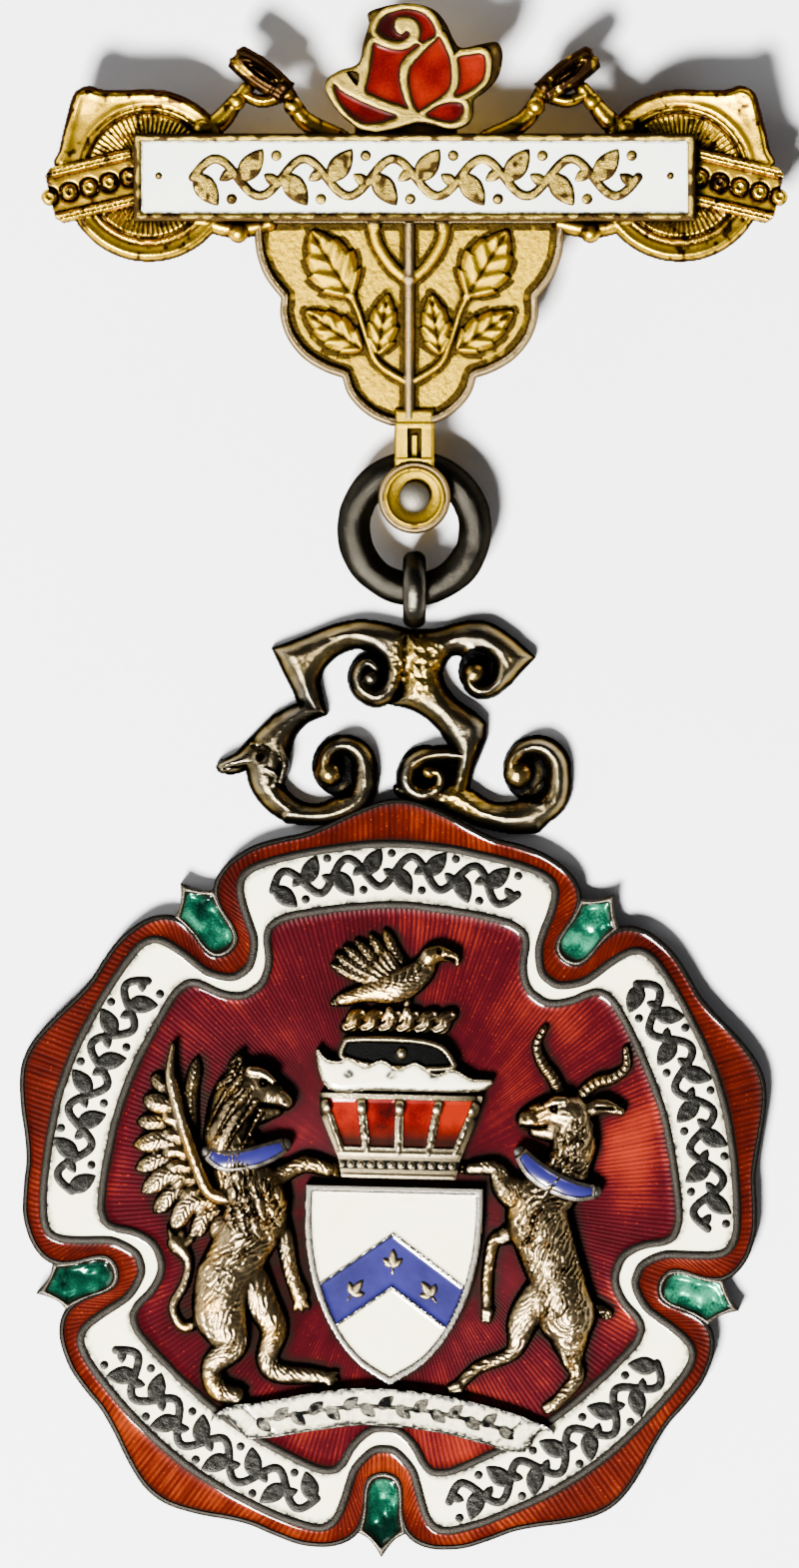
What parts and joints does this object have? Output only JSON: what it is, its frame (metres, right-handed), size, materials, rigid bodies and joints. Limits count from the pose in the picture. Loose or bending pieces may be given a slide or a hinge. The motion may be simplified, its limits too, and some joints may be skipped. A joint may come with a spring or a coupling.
{
  "type": "masonic jewel",
  "caption": "Enamelled dress jewel: a brooch with a name bar and a rose, a ring, and a petalled pendant with a scroll hanger and raised heraldic figures.",
  "frame": {"origin": "under the middle of the bounding box, on the surface that the jewel lies on", "axes": "+X across the jewel, +Y up the jewel towards the brooch, +Z out of its face"},
  "size_m": [0.037, 0.0746, 0.005],
  "materials": {
    "gilt": "bright gilt casting with dark recesses",
    "figure_gilt": "worn gilt on cast relief, dark in the hollows",
    "silver_gilt": "pale worn gilt on silver",
    "tarnished_silver": "tarnished silver with traces of gilding",
    "dark_silver": "dark tarnished silver",
    "silver": "worn silver",
    "white_enamel": "opaque creamy white enamel, glossy",
    "red_enamel": "translucent red enamel over engine-turned lines",
    "crimson_enamel": "translucent crimson enamel over radiating lines",
    "bright_red_enamel": "translucent bright red enamel",
    "green_enamel": "translucent green enamel over rough metal",
    "blue_enamel": "opaque mid-blue enamel"
  },
  "bodies": {
    "root": {"brooch_frame": "gilt", "name_bar": "silver_gilt", "name_bar_enamel": "white_enamel", "rose": "silver_gilt", "rose_enamel_1": "bright_red_enamel", "rose_enamel_2": "bright_red_enamel", "rose_enamel_3": "bright_red_enamel", "rose_enamel_4": "bright_red_enamel", "rose_enamel_5": "bright_red_enamel", "rose_enamel_6": "bright_red_enamel", "boss_rivet": "silver", "brooch_pin": "gilt", "suspension_ring": "dark_silver", "pendant_frame": "tarnished_silver", "petal_enamel": "red_enamel", "white_enamel": "white_enamel", "field_enamel": "crimson_enamel", "sepal_enamel_1": "green_enamel", "sepal_enamel_2": "green_enamel", "sepal_enamel_3": "green_enamel", "sepal_enamel_4": "green_enamel", "sepal_enamel_5": "green_enamel", "lion": "figure_gilt", "lion_collar": "blue_enamel", "antelope": "figure_gilt", "antelope_collar": "blue_enamel", "shield": "silver", "shield_white": "white_enamel", "shield_blue": "blue_enamel", "coronet": "silver_gilt", "coronet_enamel_1": "bright_red_enamel", "coronet_enamel_2": "bright_red_enamel", "coronet_enamel_3": "bright_red_enamel", "coronet_enamel_4": "bright_red_enamel", "cap": "dark_silver", "brim_enamel": "white_enamel", "crest_bird": "figure_gilt", "banner": "silver", "banner_enamel": "white_enamel"}
  },
  "joints": []
}
